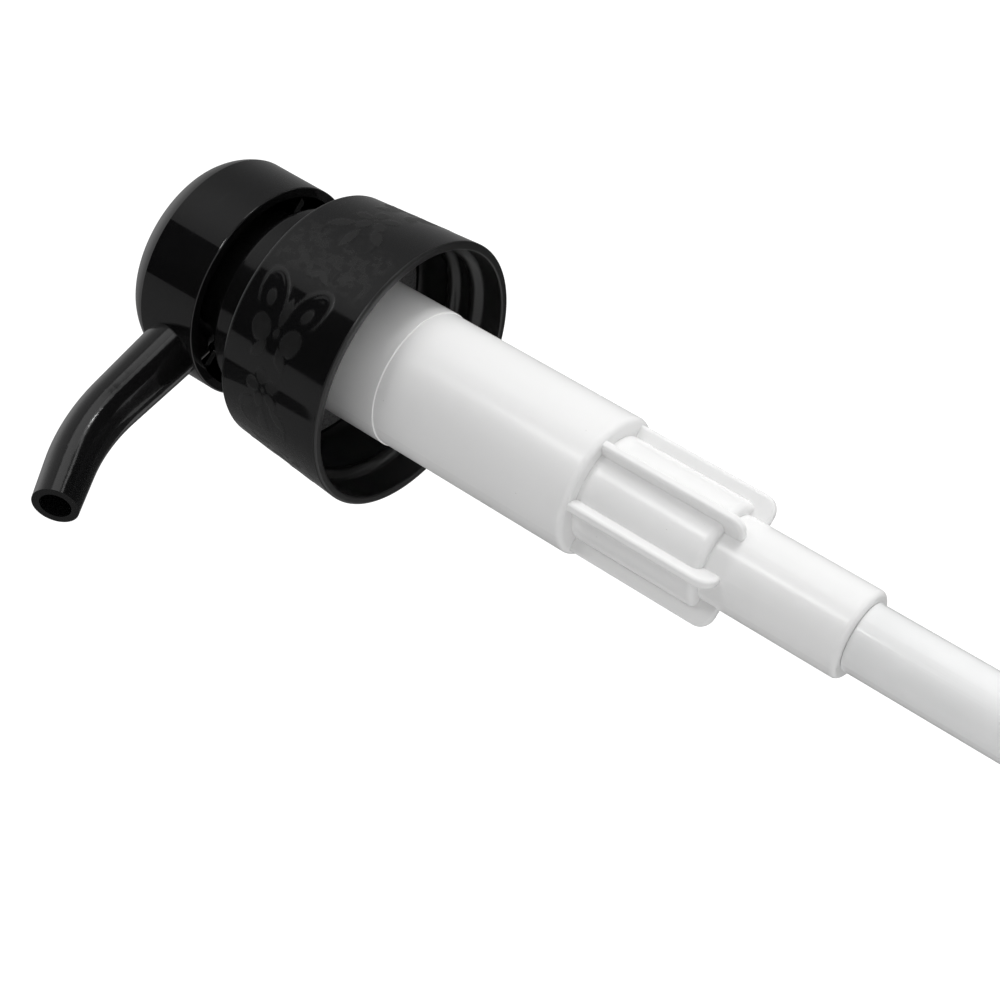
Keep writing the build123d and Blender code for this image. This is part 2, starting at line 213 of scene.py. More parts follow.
def specks(graph, spacing, share=0.04):
    """Rare small dots of dust: the middles of cells, kept only in some patches."""
    dots = 1 - cells(graph, spacing).fade(share * 0.5, share)
    return dots * mottle(graph, spacing * 3).fade(0.5, 0.56)


def stored(graph, name):
    """A number that the mesh carries for each of its points."""
    return graph.node("ShaderNodeAttribute", {"attribute_name": name}, output="Fac")


def tint(graph, amount, low, high):
    """A colour between two colours, by an amount from 0 to 1."""
    settings = {"data_type": "RGBA", "clamp_factor": True}
    sockets = {0: amount, 6: (*low, 1), 7: (*high, 1)}
    return graph.node("ShaderNodeMix", settings, sockets, 2)


def finish(name, numbers, paint):
    """A new material: `numbers` are uniform socket values and `paint(graph)` gives the others."""
    material = bpy.data.materials.new(name)
    material.use_nodes = True
    graph = Graph(material.node_tree)
    surface = material.node_tree.nodes["Principled BSDF"]
    graph.feed(surface, numbers)
    graph.feed(surface, paint(graph))
    return material


def bumped(graph, height, distance):
    """The normal of a surface raised by height (0 to 1) times distance, in millimetres."""
    return graph.node("ShaderNodeBump", None, {"Height": height, "Distance": distance * MM})


# %% [markdown]
# ## The finishes
#
# Black gloss is the hard one. Its colour is nearly nothing, so all that is seen is what it
# reflects, and small changes in roughness show at once. White gloss hides reflections, so there
# the light and the shade carry the shape, with a trace of light passing under the skin.

# %% Gloss black polypropylene
BLACK = (0.0042, 0.0042, 0.0044)
# the grey of dust specks, and of the painted sheen and painted light that the etched mark adds
DUST_AND_PAINTED_LIGHT = (0.035, 0.035, 0.034)
GLOSS_ROUGH, MOTIF_ROUGH, SATIN_ROUGH = 0.045, 0.075, 0.1
PARTING_Z = 18.7  # millimetres, where the two mould halves meet


def black_paint(graph, etched=None, least_rough=GLOSS_ROUGH):
    """Black gloss. Where `etched` is 1 the mould was etched: satin, grainy skin with a painted
    sheen.
    """
    waves = mottle(graph, 3.5, 1.0)
    lines = hairlines(graph, 0.9, (1, 1, 0.16))
    dust = specks(graph, 2.6)
    haze = mottle(graph, 4.5, 3.0).fade(0.35, 0.75)
    rough = haze * 0.035 + lines * 0.05 + dust * 0.2 + least_rough
    height = waves * 0.3 + lines * 0.03
    shade = dust * 0.7 + haze * 0.02
    if etched:
        # painted sheen: the etched mark lightens the base colour; on the closure's inside it is
        # painted light
        shade = shade + etched * 0.12
        rough = rough + etched * (mottle(graph, 0.5, 3.0) * 0.16 + 0.16)
        height = height + etched * mottle(graph, 0.16, 2.0) * 0.8
    return {
        "Base Color": tint(graph, shade, BLACK, DUST_AND_PAINTED_LIGHT),
        "Roughness": rough,
        "Normal": bumped(graph, height, 0.008),
    }


def parting_paint(graph):
    """Black gloss with the fine line that two mould halves leave around the head's side."""
    sockets = black_paint(graph)
    level = graph.node("ShaderNodeSeparateXYZ", None, {"Vector": object_place(graph)}, 2)
    line = 1 - (level - PARTING_Z * MM).unsigned().fade(0.02 * MM, 0.07 * MM)
    height = mottle(graph, 3.5, 1.0) * 0.25 - line
    return {**sockets, "Normal": bumped(graph, height, 0.004)}


def motif_paint(graph):
    """Black gloss with the etched motif, which the closure's mesh carries as an attribute."""
    etched = stored(graph, "etched")
    # the frosted patch joins the etched mark, so it is painted lighter too, as painted sheen
    cloud = mottle(graph, 1.3, 5.0).fade(0.46, 0.54) * stored(graph, "frosted")
    return black_paint(graph, etched.math("MAXIMUM", etched, cloud * 0.8), MOTIF_ROUGH)


def satin_paint(graph):
    """Black with a softer shine, for the mouldings that were not polished as much."""
    return black_paint(graph, None, SATIN_ROUGH)


GLOSS = {"Specular IOR Level": 0.5, "IOR": 1.5}
black_satin = finish("black_satin", GLOSS, satin_paint)
black_head = finish("black_head", GLOSS, parting_paint)
black_motif = finish("black_motif", GLOSS, motif_paint)
print("black finishes:", black_satin.name, black_head.name, black_motif.name)


# %% [markdown]
# The white barrel is polypropylene too, but its pigment scatters light just under the skin. A
# little subsurface light softens the shade in the corners of the ribs. The dip tube has no
# pigment: it is milky, so some light passes through and some scatters. Its extruder leaves long
# faint lines. The foam gasket is dark grey and matt, with small pits.

# %% White, milky and soft plastics
def white_paint(graph):
    """Gloss white with faint flow marks and a few dark specks in the melt."""
    flow = mottle(graph, 7.0, 2.0, (1, 1, 0.35))
    dirt = specks(graph, 2.4, 0.045)
    colour = tint(graph, dirt * 0.55 + flow * 0.05, (0.87, 0.87, 0.868), (0.45, 0.44, 0.42))
    return {
        "Base Color": colour,
        "Roughness": flow * 0.06 + 0.22,
        "Normal": bumped(graph, mottle(graph, 3.0), 0.003),
    }


def milky_paint(graph):
    """Natural polyethylene tube: extruder lines along Z and a slow cloudiness."""
    drawn = mottle(graph, 0.5, 2.0, (1, 1, 0.01))
    cloud = mottle(graph, 5.0, 2.0, (1, 1, 0.3))
    colour = tint(graph, cloud.fade(0.3, 0.7), (0.91, 0.915, 0.915), (0.95, 0.955, 0.955))
    return {
        "Base Color": colour,
        "Roughness": drawn * 0.14 + 0.17,
        "Normal": bumped(graph, drawn, 0.012),
    }


def soft_paint(graph):
    """Soft natural polyethylene, waxy and slightly yellow."""
    cloud = mottle(graph, 2.0, 3.0)
    return {
        "Base Color": tint(graph, cloud, (0.74, 0.73, 0.69), (0.82, 0.81, 0.77)),
        "Roughness": cloud * 0.15 + 0.35,
        "Normal": bumped(graph, mottle(graph, 0.4, 2.0), 0.01),
    }


def foam_paint(graph):
    """Closed-cell foam: small pits, with painted shade in their middles."""
    # painted shade: the colour below makes the middles of the pits darker
    pits = cells(graph, 0.35)
    return {
        "Base Color": tint(graph, pits.fade(0.1, 0.6), (0.05, 0.05, 0.05), (0.10, 0.10, 0.10)),
        "Roughness": 0.9 - pits * 0.1,
        "Normal": bumped(graph, pits, 0.06),
    }


UNDER_SKIN = {"Subsurface Weight": 0.15, "Subsurface Radius": (1, 1, 1), "Subsurface Scale": 0.0008}
THROUGH = {
    "Subsurface Weight": 0.25, "Subsurface Radius": (1, 1, 1), "Subsurface Scale": 0.0008,
    "IOR": 1.4, "Specular IOR Level": 0.35, "Coat Weight": 0.3, "Coat Roughness": 0.1,
    "Transmission Weight": 0.12,
}
WHITE_GLOSS = {**GLOSS, **UNDER_SKIN, "Specular IOR Level": 0.4}
white_gloss = finish("white_gloss", WHITE_GLOSS, white_paint)
milky_tube = finish("milky_tube", THROUGH, milky_paint)
soft_white = finish("soft_white", {**GLOSS, **UNDER_SKIN}, soft_paint)
grey_foam = finish("grey_foam", {"Specular IOR Level": 0.3}, foam_paint)
print("pale finishes:", white_gloss.name, milky_tube.name, soft_white.name, grey_foam.name)


# %% [markdown]
# Drawn stainless wire has fine lines along its length, and the ball of the foot valve is
# polished. On the spring the lines follow the wire, so its mesh carries a second attribute: the
# place around the wire's section.

# %% Steel
def wire_paint(graph):
    """Drawn wire: bands around the section, broken up along the wire."""
    sockets = {"W": stored(graph, "around") * 24.0, "Scale": 1.0, "Detail": 2.0}
    lines = graph.node("ShaderNodeTexNoise", {"noise_dimensions": "1D"}, sockets)
    stain = mottle(graph, 1.5, 3.0)
    return {
        "Base Color": tint(graph, stain, (0.50, 0.49, 0.47), (0.66, 0.655, 0.64)),
        "Roughness": lines * 0.18 + stain * 0.1 + 0.16,
        "Normal": bumped(graph, lines, 0.01),
    }


def ball_paint(graph):
    """Polished steel with a few tiny scuffs."""
    scuff = hairlines(graph, 0.7, (1, 0.3, 1), 0.05)
    return {
        "Base Color": tint(graph, mottle(graph, 2.0), (0.62, 0.62, 0.61), (0.70, 0.70, 0.69)),
        "Roughness": scuff * 0.2 + 0.07,
        "Normal": bumped(graph, scuff, 0.004),
    }


drawn_steel = finish("drawn_steel", {"Metallic": 1.0}, wire_paint)
polished_steel = finish("polished_steel", {"Metallic": 1.0}, ball_paint)
print("steel finishes:", drawn_steel.name, polished_steel.name)


# %% [markdown]
# ## Turned shapes from rounded outlines
#
# The closure is turned about the pump's axis. A Screw modifier could turn its outline, but the
# relief on its side needs every point, so the points are worked out here. An outline is a list of
# corners (radius, height, rounding). Each corner becomes a small arc that is tangent to both its
# sides. A guard point a little way along each side keeps the flat sides flat when the mesh is
# shaded smooth.

# %% Outlines, and the surface that an outline sweeps
def rounded(corners, steps=5, guard=0.15):
    """The open outline through corners (radius, height, rounding), with an arc at each corner.

    For a corner whose sides meet at angle 2h, the arc starts rounding / tan(h) along each side,
    and its centre is rounding / sin(h) away along the bisector. The arc's points turn evenly
    from one tangent point to the other.
    """
    corners = np.asarray(corners, float)
    spots, sizes = corners[:, :2], corners[:, 2]
    pieces = []
    for i, (spot, size) in enumerate(zip(spots, sizes)):
        if i in (0, len(spots) - 1) or size == 0:
            pieces.append(spot[None])
            continue
        back, on = spots[i - 1] - spot, spots[i + 1] - spot
        back_length, on_length = np.linalg.norm(back), np.linalg.norm(on)
        back, on = back / back_length, on / on_length
        half = 0.5 * np.arccos(np.clip(back @ on, -1, 1))
        reach = size / np.tan(half)
        centre = spot + (back + on) / np.linalg.norm(back + on) * size / np.sin(half)
        start, end = spot + back * reach - centre, spot + on * reach - centre
        swing = np.pi - 2 * half
        share = np.linspace(0, 1, steps + 1)[:, None]
        arc = (np.sin((1 - share) * swing) * start + np.sin(share * swing) * end) / np.sin(swing)
        room_back = min(guard, 0.25 * (back_length - reach))
        room_on = min(guard, 0.25 * (on_length - reach))
        pieces.append(spot + back[None] * (reach + room_back))
        pieces.append(centre + arc)
        pieces.append(spot + on[None] * (reach + room_on))
    return np.concatenate(pieces)


def turn(outline, angle, relief):
    """Points[row, column] of an outline turned about Z: (r cos a, r sin a, z).

    The radius r is the outline's own plus relief[row, column].
    """
    radius, height = outline[:, :1] + relief, outline[:, 1:2]
    spots = radius * np.cos(angle), radius * np.sin(angle), height
    return np.stack(np.broadcast_arrays(*spots), -1)


# %% [markdown]
# A grid of points becomes a mesh with one quad between each four neighbours. A row on the axis
# collapses to one point, which Merge by Distance closes into a pole. If the enclosed volume comes
# out negative, the faces point inwards, and the grid is read the other way round.

# %% From a grid of points to a finished piece
def piece(name, points, material, closed_rows, marks):
    """A mesh piece from points[row, column] in millimetres; marks are named values per point.

    Its volume is a sixth of the sum, over all faces, of a . (b x c + c x d) for corners a to d.
    """
    rows, columns = points.shape[:2]
    row = np.arange(rows if closed_rows else rows - 1)[:, None]
    column = np.arange(columns)[None]
    next_row, next_column = (row + 1) % rows * columns, (column + 1) % columns
    row = row * columns
    corners = row + column, row + next_column, next_row + next_column, next_row + column
    faces = np.stack(corners, -1).reshape(-1, 4)
    spots = points.reshape(-1, 3) * MM
    a, b, c, d = (spots[faces[:, i]] for i in range(4))
    volume = np.einsum("ij,ij->", a, np.cross(b, c) + np.cross(c, d)) / 6
    if volume < 0:
        faces = faces[:, ::-1]
    mesh = bpy.data.meshes.new(name)
    mesh.from_pydata(spots, [], faces)
    for mark, values in marks.items():
        layer = mesh.attributes.new(mark, "FLOAT", "POINT")
        layer.data.foreach_set("value", np.ascontiguousarray(values, np.float32).ravel())
    made = bpy.data.objects.new(name, mesh)
    bpy.context.scene.collection.objects.link(made)
    if not closed_rows:
        close_poles(mesh)
    mesh.shade_smooth()
    mesh.materials.append(material)
    print(f"{name}: {len(mesh.polygons)} faces, {abs(volume) * 1e9:.0f} cubic mm")
    return made


def close_poles(mesh):
    """Merges the points that a collapsed row has on the axis."""
    work = bmesh.new()
    work.from_mesh(mesh)
    bmesh.ops.remove_doubles(work, verts=work.verts, dist=1e-6)
    work.to_mesh(mesh)
    work.free()


# %% [markdown]
# ## The motif on the closure
#
# The closure's side carries a low raised decoration: butterflies, flowers and leaves. It could be
# sculpted, or painted as a bump image. Here it is a function: each shape is a signed distance,
# negative inside, and a soft step turns distance into height. Because the height is part of the
# mesh, the outline of the closure shows it too.

# %% Flat shapes as signed distances
FAR = 9.0  # millimetres, further than any line is wide


def tilted(p, q, middle, tilt):
    """(x, y) of a point in axes at `middle` that are turned by `tilt` degrees."""
    tilt = np.radians(tilt)
    x = (p - middle[0]) * np.cos(tilt) + (q - middle[1]) * np.sin(tilt)
    y = (q - middle[1]) * np.cos(tilt) - (p - middle[0]) * np.sin(tilt)
    return x, y


def oval(p, q, middle, half, tilt=0.0):
    """Distance from an oval's edge: (length of (x / a, y / b) - 1) times the smaller half."""
    x, y = tilted(p, q, middle, tilt)
    return (np.hypot(x / half[0], y / half[1]) - 1) * min(half)


def leaf(p, q, middle, half, tilt=0.0):
    """Distance from a leaf: |y| - b (1 - (x / a) squared), cut off past its two points."""
    x, y = tilted(p, q, middle, tilt)
    side = np.abs(y) - half[1] * (1 - (x / half[0]) ** 2)
    return np.maximum(side, np.abs(x) - half[0])


def curl(p, q, middle, radius, start, sweep):
    """Distance from an arc of a circle, in degrees anticlockwise from start; FAR beside it."""
    angle = (np.degrees(np.arctan2(q - middle[1], p - middle[0])) - start) % 360
    on_arc = np.abs(np.hypot(p - middle[0], q - middle[1]) - radius)
    return np.where(angle <= sweep, on_arc, FAR)


def filled(distance, soft=0.22):
    """1 inside a shape and 0 outside, with a smooth edge `soft` millimetres wide."""
    share = np.clip(0.5 - distance / soft, 0, 1)
    return share * share * (3 - 2 * share)


def stroked(distance, width, soft=0.18):
    """1 on a shape's edge line of that width, and 0 away from it."""
    return filled(np.abs(distance) - width / 2, soft)


# %% [markdown]
# The decoration repeats four times round the closure. In each quarter, p runs round the closure
# and q up it, in millimetres from the middle of the butterfly. `raised` is how far the plastic
# stands out, and `etched` is where the mould was etched to a satin grain. A shape is laid over
# the others by taking the larger of the two heights at each point.

# %% One quarter of the decoration
REPEATS = 4
MOTIF_AZIMUTH, MOTIF_Z, MOTIF_R = 45.6, -3.9, 20.3  # the middle of one butterfly
QUARTER = 2 * np.pi * MOTIF_R / REPEATS
RAISE = 0.045


def overlaid(*layers):
    """The largest of several heights at each point."""
    return np.maximum.reduce(np.broadcast_arrays(*layers))


def butterfly(p, q):
    """(raised, etched) of one butterfly: two outlined wings, two solid ones, two tails, a body."""
    head = filled(oval(p, q, (0.3, 0), (0.8, 0.62)))
    body = filled(leaf(p, q, (3.4, 0), (2.4, 0.85)))
    line, grain = [0.0], [head, body]
    for side in (-1, 1):
        wing = oval(p, q, (4.6, side * 3.3), (4.3, 2.35), side * 24)
        inner_edge = oval(p, q, (4.9, side * 3.45), (3.3, 1.5), side * 26)
        line += [
            stroked(wing, 0.42),
            stroked(inner_edge, 0.2) * 0.6,
            stroked(curl(p, q, (3.6, side * 1.3), 1.3, 200, 150), 0.2) * 0.5,
        ]
        grain += [
            stroked(wing, 0.5) * filled(3.0 - p, 1.5),
            filled(oval(p, q, (4.4, side * 3.5), (1.3, 0.85), side * 20)),
            filled(oval(p, q, (0.1, side * 2.9), (2.1, 1.75), side * 30)),
            filled(leaf(p, q, (-2.9, side * 2.1), (1.9, 0.95), side * -35)),
        ]
    grain = overlaid(*grain)
    return overlaid(*line, grain * 0.75), grain


def blossom(p, q):
    """(raised, etched) of one flower with five petals, leaves and curled stems."""
    grain = [filled(oval(p, q, (0, 0), (0.45, 0.45))), filled(leaf(p, q, (-5.6, 0), (2.3, 0.8)))]
    line = [
        stroked(oval(p, q, (0, 0), (0.8, 0.8)), 0.2),
        stroked(curl(p, q, (-6.2, 0), 0.9, 0, 300), 0.2),
    ]
    for turn_by in range(18, 378, 72):
        away = 2.05 * np.cos(np.radians(turn_by)), 2.05 * np.sin(np.radians(turn_by))
        grain.append(filled(oval(p, q, away, (1.35, 0.95), turn_by)))
    for side in (-1, 1):
        grain.append(filled(leaf(p, q, (-3.6, side * 3.2), (2.1, 0.9), side * 130)))
        stem = curl(p, q, (-6.0, side * 2.4), 2.1, 90 * side - 60, 230)
        line.append(stroked(stem, 0.22))
    grain = overlaid(*grain)
    return overlaid(*line, grain * 0.75), grain


def sprig(p, q):
    """(raised, etched) of a leafy stem: a line 0.7 sin(0.9 p) high with leaves on both sides."""
    stem = stroked(q - 0.7 * np.sin(p * 0.9), 0.2) * filled(np.abs(p) - 3.4)
    grain = []
    for i, place in enumerate(np.linspace(-2.7, 2.7, 5)):
        side = 1 if i % 2 else -1
        middle = (place, side * 1.7 + 0.7 * np.sin(place * 0.9))
        grain.append(filled(leaf(p, q, middle, (1.5, 0.6), side * 55)))
    grain = overlaid(*grain)
    return overlaid(stem, grain * 0.75), grain


def decoration(angle, height):
    """(raised, etched) all over the closure's side, from 0 to 1."""
    p = (angle - np.radians(MOTIF_AZIMUTH)) * MOTIF_R
    p = (p + 0.6 * QUARTER) % QUARTER - 0.6 * QUARTER
    q = height - MOTIF_Z
    shapes = [
        butterfly(p, q),
        blossom(p + 8.4, q + 0.2),
        sprig(p - 13.0, q - 1.5),
        sprig(p - 13.0, -q - 4.2),
    ]
    raised, etched = zip(*shapes)
    return overlaid(*raised), overlaid(*etched)


print("the motif repeats every", round(QUARTER, 1), "mm")


# %% [markdown]
# ## The screw closure
#
# The closure clamps the pump to the jug. A thread inside it is a ridge whose height on the wall
# climbs by one pitch each turn, so at a given angle it is met at several heights. Its section is
# a trapezium with soft flanks, and it rises and dies away over a few degrees at its ends. It
# could be a separate swept shape joined to the wall, but moving the wall's own points keeps the
# mesh one clean skin.

# %% The closure's sizes and its thread, in millimetres
THREAD_PITCH, THREAD_TURNS, THREAD_FIRST_Z = 4.233, 1.75, -12.6
THREAD_DEPTH, THREAD_HALF_WIDTH, THREAD_FLANK = 1.2, 1.1, 0.65
THREAD_RUN_OUT = 0.05  # of a turn
WALL_MOUTH_R, WALL_ROOT_R, WALL_ROOT_Z = 19.65, 18.95, -0.6
SIDE_TOP_R = 19.6
ROOF_HOLE_R, ROOF_THICKNESS, ROOF_INNER_R = 11.1, 1.5, 18.3
RIM_BAND = 0.6  # how far the rim's rounded foot reaches up each wall
SIDE_ROWS, WALL_ROWS, COLUMNS = 82, 42, 520


def thread(angle, height):
    """How far the thread stands in from the wall: a smoothed trapezium about each turn's height."""
    ridge = 0 * angle * height
    for lap in range(2):
        along = angle / (2 * np.pi) + lap
        middle = THREAD_FIRST_Z + THREAD_PITCH * along
        flank = np.clip((THREAD_HALF_WIDTH - np.abs(height - middle)) / THREAD_FLANK, 0, 1)
        start, end = along / THREAD_RUN_OUT, (THREAD_TURNS - along) / THREAD_RUN_OUT
        ends = np.clip(start, 0, 1) * np.clip(end, 0, 1)
        ridge = np.maximum(ridge, flank * flank * (3 - 2 * flank) * ends)
    return ridge * THREAD_DEPTH


def side_radius(height):
    """Radius of the closure's tapered side: a straight line from the rim to the roof."""
    share = (height - closure_foot) / (closure_top - closure_foot)
    return closure_rim_r + (SIDE_TOP_R - closure_rim_r) * share


def wall_radius(height):
    """Radius of the wall inside, which opens slightly towards the mouth."""
    share = (WALL_ROOT_Z - height) / (WALL_ROOT_Z - closure_foot)
    return WALL_ROOT_R + (WALL_MOUTH_R - WALL_ROOT_R) * share


print("the thread makes", THREAD_TURNS, "turns, each", THREAD_PITCH, "mm high")


# %% [markdown]
# The outline goes up the side, over the roof to the hole that the barrel passes through, back
# under the roof, down the wall with the thread, and round the rim. The side and the wall have
# many rows, because relief needs points to lift, and the rest has only its rounded corners.

# %% The closure's outline
side_rows = np.linspace(closure_foot + RIM_BAND, closure_top - 0.75, SIDE_ROWS)
wall_rows = np.linspace(WALL_ROOT_Z - 0.3, closure_foot + RIM_BAND, WALL_ROWS)
side_part = np.stack([side_radius(side_rows), side_rows], 1)
wall_part = np.stack([wall_radius(wall_rows), wall_rows], 1)
roof_under = closure_top - ROOF_THICKNESS
roof_part = rounded([
    (side_radius(closure_top - 0.8), closure_top - 0.8, 0),
    (SIDE_TOP_R, closure_top, 0.45),
    (ROOF_HOLE_R, closure_top, 0.25),
    (ROOF_HOLE_R, roof_under, 0.25),
    (ROOF_INNER_R, roof_under, 0.3),
    (ROOF_INNER_R, 0.2, 0.2),
    (WALL_ROOT_R, WALL_ROOT_Z, 0),
])[1:]
rim_part = rounded([
    (*wall_part[-1], 0),
    (WALL_MOUTH_R, closure_foot, 0.3),
    (closure_rim_r, closure_foot, 0.35),
    (*side_part[0], 0),
])[1:-1]
parts = side_part, roof_part, wall_part, rim_part
closure_outline = np.concatenate(parts)
which_part = np.repeat(np.arange(len(parts)), [len(part) for part in parts])[:, None]
is_side, is_wall = 1.0 * (which_part == 0), 1.0 * (which_part == 2)
print("the outline has", len(closure_outline), "points, and", COLUMNS, "columns go round")


# %% [markdown]
# The relief fades out near the rim and the roof, where the mould parts. The mesh carries two
# marks for the finish: `etched`, which is 1 on the satin shapes and everywhere off the side, and
# `frosted`, which is 1 on the cloudy patch between two butterflies. Both also paint the black
# lighter: a painted sheen on the satin shapes and the frosted patch, and off the side, mostly the
# shaded inside of the closure, painted light.

# %% The closure's mesh
FROST_MIDDLE, FROST_HALF, FROST_SOFT = 13.5, 4.5, 3.0  # millimetres round from the butterfly
RIM_MARGIN, RIM_FADE = 0.9, 1.2  # plain height above the rim, and the height of the fade after it
TOP_MARGIN, TOP_FADE = 1.0, 0.5  # the same below the roof

around = np.linspace(0, 2 * np.pi, COLUMNS, endpoint=False)[None]
levels = closure_outline[:, 1:2]
raised, etched = decoration(around, levels)
near_rim = np.clip((levels - closure_foot - RIM_MARGIN) / RIM_FADE, 0, 1)
near_top = np.clip((closure_top - TOP_MARGIN - levels) / TOP_FADE, 0, 1)
window = is_side * near_rim * near_top
relief = raised * window * RAISE - thread(around, levels) * is_wall
from_butterfly = (around - np.radians(MOTIF_AZIMUTH)) * MOTIF_R % QUARTER
frosted = filled(np.abs(from_butterfly - FROST_MIDDLE) - FROST_HALF, FROST_SOFT) * window
# painted light: `etched` is 1 off the side, so the shaded inside of the closure is painted lighter
closure_marks = {"etched": np.maximum(etched * window, 1.0 - is_side), "frosted": frosted}
closure = piece("closure_moulding", turn(closure_outline, around, relief), black_motif,
                True, closure_marks)
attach(closure, "closure")
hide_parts("closure")


# %% [markdown]
# ## The spring
#
# A compression spring is wire carried along a helix. Its end turns are closed, so the pitch is
# small at both ends and large between. A Screw modifier could only give it one pitch. Here the
# height along the wire is the sum of a pitch that changes smoothly with the turn number, and the
# wire's section rides on the helix's own frame. On the pump the spring joins the barrel to the
# piston rod and stretches when the pump rises; here it is one fixed mesh.

# %% Spring with closed ends
WIRE_R, COIL_R = 0.6, 5.6
TURNS, CLOSED_TURNS = 10.0, 1.2
CLOSED_PITCH, EXTRA_PITCH, EASE_TURNS = 1.0, 3.0, 0.8  # pitches are shares, scaled to fit below
TIP_TURNS = 0.012  # over which the wire's cut ends close
STEPS_ALONG, STEPS_AROUND = 900, 16

lap = np.linspace(0, TURNS, STEPS_ALONG)
past_start, before_end = lap - CLOSED_TURNS, TURNS - CLOSED_TURNS - lap
opened = np.clip(past_start, 0, EASE_TURNS) * np.clip(before_end, 0, EASE_TURNS)
pitch = CLOSED_PITCH + EXTRA_PITCH * opened
climb = np.concatenate([[0], np.cumsum((pitch[1:] + pitch[:-1]) / 2)])
room = spring_top - spring_foot - 2 * WIRE_R
height = spring_foot + WIRE_R + climb / climb[-1] * room
spin = 2 * np.pi * lap
outward = np.stack([np.cos(spin), np.sin(spin), 0 * spin], -1)
middle = COIL_R * outward + height[:, None] * np.array([0, 0, 1])
forward = np.gradient(middle, axis=0)
forward /= np.linalg.norm(forward, axis=1, keepdims=True)
upward = np.cross(forward, outward)
section = np.linspace(0, 2 * np.pi, STEPS_AROUND, endpoint=False)[None, :, None]
ring = outward[:, None] * np.cos(section) + upward[:, None] * np.sin(section)
taper = np.sqrt(np.clip(np.minimum(lap, TURNS - lap) / TIP_TURNS, 0, 1))[:, None, None]
spring_points = middle[:, None] + WIRE_R * taper * ring
around_wire = np.broadcast_to(section[..., 0] / (2 * np.pi), spring_points.shape[:2])
spring = piece("return_spring", spring_points, drawn_steel, False,
               {"around": around_wire})
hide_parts("spring")
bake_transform(spring)


# %% [markdown]
# ## Finishes for the parts that keep their own shape
#
# The head, the spout, the collar, the barrel and the small parts inside already have their real
# shape, rounded edges included, so they stay as the frame has them. A part of the frame is never
# moved or changed. It only gets a material in its slot.

# %% Give the other parts their finish
FINISHES = {
    "head_shell": black_head,
    "spout": black_satin,
    "lock_collar": black_satin,
    "stem": white_gloss,
    "barrel": white_gloss,
    "piston_rod": white_gloss,
    "ball_cage": white_gloss,
    "stem_seal": soft_white,
    "piston": soft_white,
    "gasket": grey_foam,
    "inlet_ball": polished_steel,
    "dip_tube": milky_tube,
}
for node, material in FINISHES.items():
    nodes[node].data.materials.clear()
    nodes[node].data.materials.append(material)
print(len(FINISHES), "parts of the frame have a finish")


# %% [markdown]
# ## A white tent
#
# Black gloss shows its surroundings and little else. In a studio it stands in a white tent, and
# the tent here is the world's light: an even grey with a few wide pools of brighter light. Each
# pool is the cosine of the angle to its middle, raised to a power. Behind the pump the background
# is plain white, and so is what shows through the milky tube.

# %% The tent
def direction(azimuth, elevation):
    """The unit vector towards an azimuth about +Z, from +X, and an elevation, in degrees."""
    a, e = np.radians(azimuth), np.radians(elevation)
    return Vector((np.cos(a) * np.cos(e), np.sin(a) * np.cos(e), np.sin(e)))


# Each pool of light: azimuth, elevation, strength, and the power by which it fades.
POOLS = [(98, 38, 0.30, 7), (200, 35, 0.09, 3), (0, 30, 0.12, 6), (0, 90, 0.9, 8)]
TENT_BASE, BACKDROP = 0.14, 1.15
WHITE = (1, 1, 1, 1)

world = bpy.data.worlds.new("tent")
bpy.context.scene.world = world
world.use_nodes = True
tent = Graph(world.node_tree)
towards = tent.node("ShaderNodeTexCoord", output="Generated")
glow = TENT_BASE
for azimuth, elevation, strength, power in POOLS:
    facing = tent.node("ShaderNodeVectorMath", {"operation": "DOT_PRODUCT"},
                       {0: towards, 1: direction(azimuth, elevation)}, "Value")
    facing = facing.math("MAXIMUM", facing, 0.0)
    glow = facing.math("POWER", facing, power) * strength + glow
by_eye = tent.node("ShaderNodeLightPath", output="Is Camera Ray")
through = tent.node("ShaderNodeLightPath", output="Is Transmission Ray")
seen = by_eye.math("MAXIMUM", by_eye, through)
sockets = {"Color": WHITE, "Strength": glow + seen * (BACKDROP - glow)}
tent.feed(world.node_tree.nodes["Background"], sockets)
print("the tent has", len(POOLS), "pools of light")


# %% [markdown]
# ## Cards that only the gloss sees
#
# A black card beside a black moulding gives its reflection a clean dark zone with sharp edges,
# which is what makes the gloss look polished. Three cards stand round the pump. They are hidden
# from the camera and from all but glossy rays, so they throw no shadow.

# %% The cards
SQUARE = (-1, -1), (1, -1), (1, 1), (-1, 1)


def stage_sheet(name, corners, material):
    """A flat rectangle of the studio, which is not part of the pump."""
    mesh = bpy.data.meshes.new(name)
    mesh.from_pydata(corners, [], [(0, 1, 2, 3)])
    mesh.materials.append(material)
    made = bpy.data.objects.new(name, mesh)
    bpy.context.scene.collection.objects.link(made)
    return made


def flat_card(name, azimuth, elevation, away, width, height, material):
    """A card `away` metres from the pump, facing it, with a level upper edge."""
    middle = direction(azimuth, elevation) * away
    across = Vector((0, 0, 1)).cross(middle).normalized() * width / 2
    upwards = middle.cross(across).normalized() * height / 2
    card = stage_sheet(name, [middle + across * x + upwards * y for x, y in SQUARE], material)
    card.visible_camera = card.visible_diffuse = False
    card.visible_shadow = card.visible_transmission = False


def card_paint(name, albedo):
    """Matt card of one grey; it is scenery, so it has no pattern."""
    numbers = {"Base Color": (albedo, albedo, albedo, 1), "Roughness": 1, "Specular IOR Level": 0}
    return finish(name, numbers, lambda graph: {})


card_black, card_grey = card_paint("card_black", 0.01), card_paint("card_grey", 0.09)
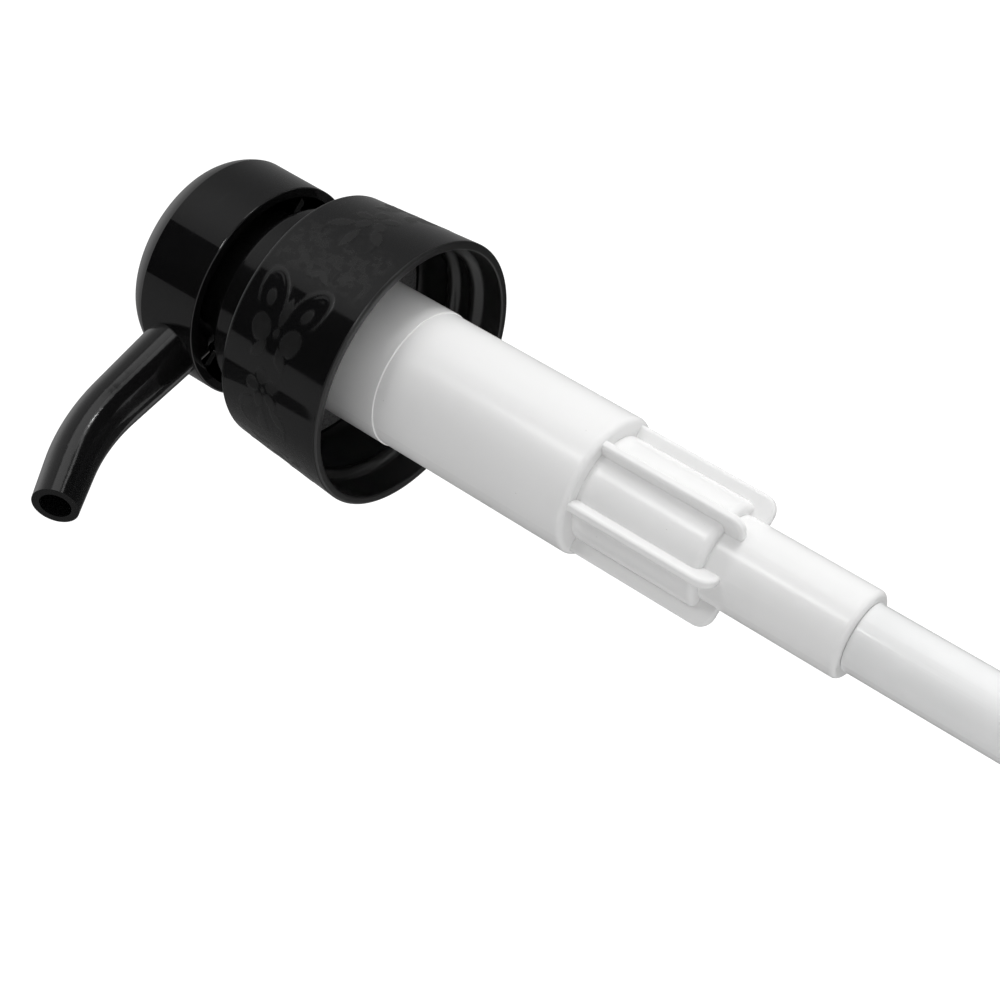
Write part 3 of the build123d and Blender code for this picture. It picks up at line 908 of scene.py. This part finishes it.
# Each card: name, azimuth, elevation, distance, width, height, material.
CARDS = [
    ("black_card", 43, 38, 0.9, 0.76, 0.75, card_black),
    ("grey_flag", 208, -21, 0.3, 0.5, 0.38, card_grey),
    ("low_flag", 125, -46, 0.3, 0.4, 0.4, card_black),
]
for row in CARDS:
    flat_card(*row)
print(len(CARDS), "cards stand round the pump")


# %% [markdown]
# ## The lamps
#
# Four small lamps make bright streaks and spots on the glossy parts. Three large softboxes
# give the white parts their light and shade. They are hidden from glossy rays, because the black
# parts would mirror them as big white squares.

# %% The lamps
def lamp(name, azimuth, elevation, width, height, watts, away):
    """A rectangular lamp `away` metres from the pump, facing it; width and height in degrees."""
    data = bpy.data.lights.new(name, "AREA")
    data.shape = "RECTANGLE"
    data.size, data.size_y = (away * np.radians(angle) for angle in (width, height))
    data.energy = watts
    made = bpy.data.objects.new(name, data)
    bpy.context.scene.collection.objects.link(made)
    aim = direction(azimuth, elevation)
    turned = aim.to_track_quat("Z", "Y").to_matrix().to_4x4()
    made.matrix_world = Matrix.Translation(aim * away) @ turned
    made.visible_camera = False
    return made


# Each lamp: name, azimuth, elevation, width, height, watts, distance.
STREAKS = [
    ("sparkle", 79, 20, 5, 2.5, 0.3, 0.8),
    ("streak", 74, 13, 6, 8, 0.6, 0.8),
    ("strip", 115, 10, 17, 36, 0.6, 1.0),
    ("strip_spot", 116, -8, 2.5, 2.5, 0.2, 1.0),
]
SOFTBOXES = [
    ("key", 135, 3, 40, 16, 19, 1.9),
    ("fill", -20, 6, 40, 16, 6, 1.9),
    ("overhead", 0, 89, 50, 50, 22, 2.2),
]
for row in STREAKS:
    lamp(*row)
for row in SOFTBOXES:
    lamp(*row).visible_glossy = False
print(len(STREAKS), "streak lamps and", len(SOFTBOXES), "softboxes")


# %% [markdown]
# ## The floor
#
# The pump hangs over a wide pale floor, which lies just under the end of its tube. The main view
# looks up, away from the floor, and has only the tent behind the pump. The floor shows in views
# from higher up. Pale paper is matt and a little cloudy.

# %% The floor
FLOOR_HALF = 12.0
FLOOR_GAP = 0.0005
PAPER_DARK, PAPER_LIGHT = (0.78, 0.78, 0.78), (0.82, 0.82, 0.82)


def paper_paint(graph):
    """Pale grey paper with slow clouds."""
    return {"Base Color": tint(graph, mottle(graph, 60.0), PAPER_DARK, PAPER_LIGHT)}


floor_z = tube_foot * MM - FLOOR_GAP
floor_corners = [(x * FLOOR_HALF, y * FLOOR_HALF, floor_z) for x, y in SQUARE]
stage_sheet("floor", floor_corners, finish("floor_paper", {"Roughness": 0.8}, paper_paint))
print("the floor lies at", round(floor_z, 4), "m")
